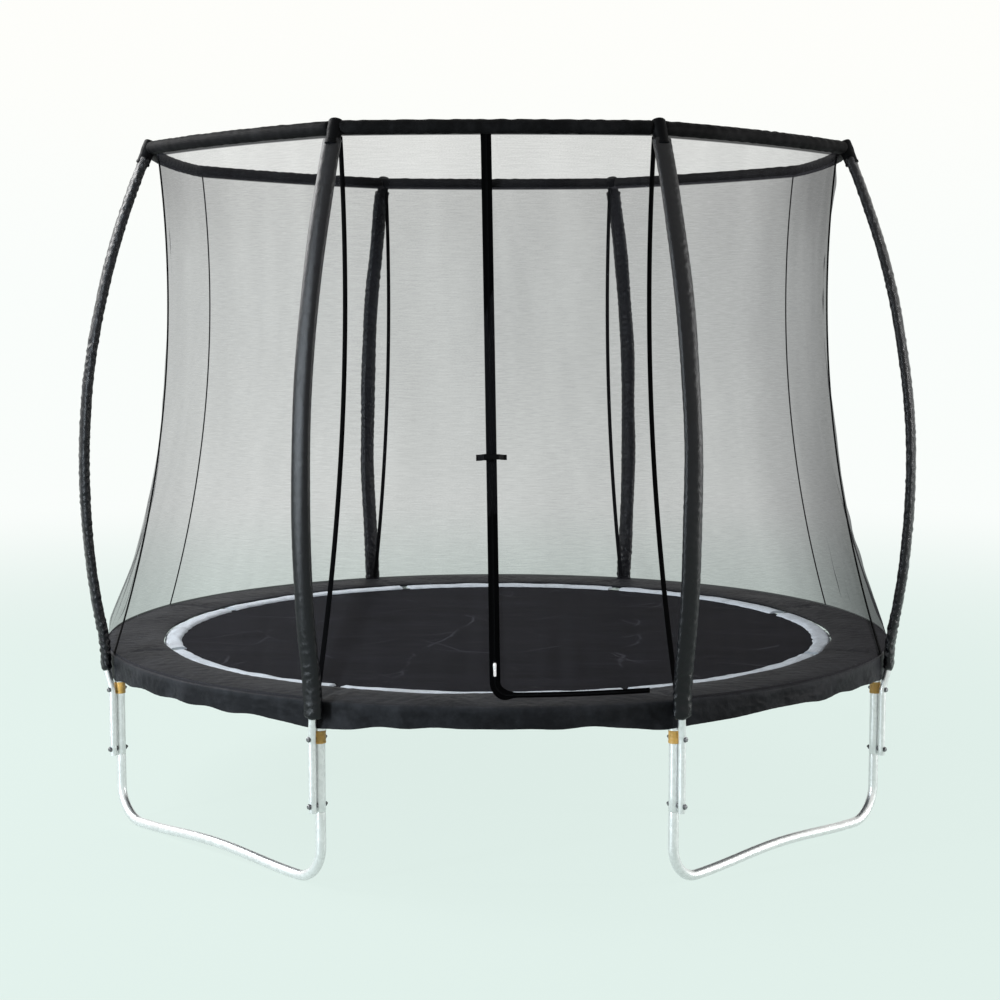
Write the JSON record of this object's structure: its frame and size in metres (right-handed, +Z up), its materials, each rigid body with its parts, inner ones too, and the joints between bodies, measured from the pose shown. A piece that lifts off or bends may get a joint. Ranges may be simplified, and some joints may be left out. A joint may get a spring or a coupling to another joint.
{
  "type": "garden trampoline",
  "caption": "Round garden trampoline with a padded spring ring, U-shaped steel legs, outward-bowed padded poles, a top ring and a see-through safety net with a zipped door.",
  "frame": {"origin": "on the floor under the centre of the jumping mat", "axes": "+Z up, -Y out of the zipped doorway, +X to the right of someone looking at the doorway"},
  "size_m": [3.063, 3.063, 2.4953],
  "materials": {
    "galvanised_steel": "bright galvanised tube",
    "amber_plastic": "translucent amber plastic",
    "sleeve_fabric": "satin black padded sleeve",
    "black_cover": "black fabric cover over a tube",
    "net_mesh": "fine see-through black mesh",
    "mat_fabric": "woven black jumping mat",
    "white_webbing": "off-white webbing",
    "pad_vinyl": "charcoal coated fabric over foam",
    "black_plastic": "black moulded plastic",
    "zip_metal": "bright plated metal"
  },
  "bodies": {
    "frame": {"frame_rail_left": "galvanised_steel", "leg_upright_left": "galvanised_steel", "leg_collar_left": "amber_plastic", "pole_bolt_left": "galvanised_steel", "pole_left": "galvanised_steel", "pole_sleeve_left": "sleeve_fabric", "frame_rail_front_left": "galvanised_steel", "leg_upright_front_left": "galvanised_steel", "leg_collar_front_left": "amber_plastic", "pole_bolt_front_left": "galvanised_steel", "pole_front_left": "galvanised_steel", "pole_sleeve_front_left": "sleeve_fabric", "frame_rail_front_right": "galvanised_steel", "leg_upright_front_right": "galvanised_steel", "leg_collar_front_right": "amber_plastic", "pole_bolt_front_right": "galvanised_steel", "pole_front_right": "galvanised_steel", "pole_sleeve_front_right": "sleeve_fabric", "frame_rail_right": "galvanised_steel", "leg_upright_right": "galvanised_steel", "leg_collar_right": "amber_plastic", "pole_bolt_right": "galvanised_steel", "pole_right": "galvanised_steel", "pole_sleeve_right": "sleeve_fabric", "frame_rail_rear_right": "galvanised_steel", "leg_upright_rear_right": "galvanised_steel", "leg_collar_rear_right": "amber_plastic", "pole_bolt_rear_right": "galvanised_steel", "pole_rear_right": "galvanised_steel", "pole_sleeve_rear_right": "sleeve_fabric", "frame_rail_rear_left": "galvanised_steel", "leg_upright_rear_left": "galvanised_steel", "leg_collar_rear_left": "amber_plastic", "pole_bolt_rear_left": "galvanised_steel", "pole_rear_left": "galvanised_steel", "pole_sleeve_rear_left": "sleeve_fabric", "leg_base_left": "galvanised_steel", "leg_base_right": "galvanised_steel", "leg_base_rear": "galvanised_steel", "top_rail_front_left": "black_cover", "net_panel_front_left": "net_mesh", "top_rail_front": "black_cover", "net_panel_front": "net_mesh", "top_rail_front_right": "black_cover", "net_panel_front_right": "net_mesh", "top_rail_right_rear": "black_cover", "net_panel_right_rear": "net_mesh", "top_rail_rear": "black_cover", "net_panel_rear": "net_mesh", "top_rail_left_rear": "black_cover", "net_panel_left_rear": "net_mesh", "spring_pad": "pad_vinyl", "buckle_socket": "black_plastic"},
    "mat": {"jumping_mat": "mat_fabric", "mat_edge_band": "white_webbing", "spring_set": "galvanised_steel"},
    "door": {"net_door_flap": "net_mesh"},
    "zip_slider": {"zip_slider": "zip_metal"},
    "zip_pull": {"zip_pull": "zip_metal"},
    "buckle_tongue": {"buckle_tongue": "black_plastic"}
  },
  "joints": [
    {"name": "mat_bounce", "type": "slide", "parent": "frame", "child": "mat", "axis": [0, 0, 1], "range_m": [-0.2, 0], "stiffness_N_per_m": 4000, "springref_m": 0.02, "deforming": ["spring_set"]},
    {"name": "door_flap", "type": "hinge", "parent": "frame", "child": "door", "pos_m": [0.48, -1.43359, 0.66], "axis": [-0.2673, 0.0914, 0.9593], "range_deg": [0, 100]},
    {"name": "zip_travel", "type": "hinge", "parent": "frame", "child": "zip_slider", "pos_m": [-0.02866, -4.73946, 2.00212], "axis": [0.9999, 0, 0.0169], "range_deg": [0, 27]},
    {"name": "zip_pull", "type": "hinge", "parent": "zip_slider", "child": "zip_pull", "pos_m": [-0.00744, -1.48458, 0.74883], "axis": [-0.9999, -0.0055, -0.0148], "range_deg": [0, 165]},
    {"name": "buckle_slide", "type": "slide", "parent": "door", "child": "buckle_tongue", "axis": [0.9999, 0.0029, 0.0164], "range_m": [0, 0.04]}
  ]
}
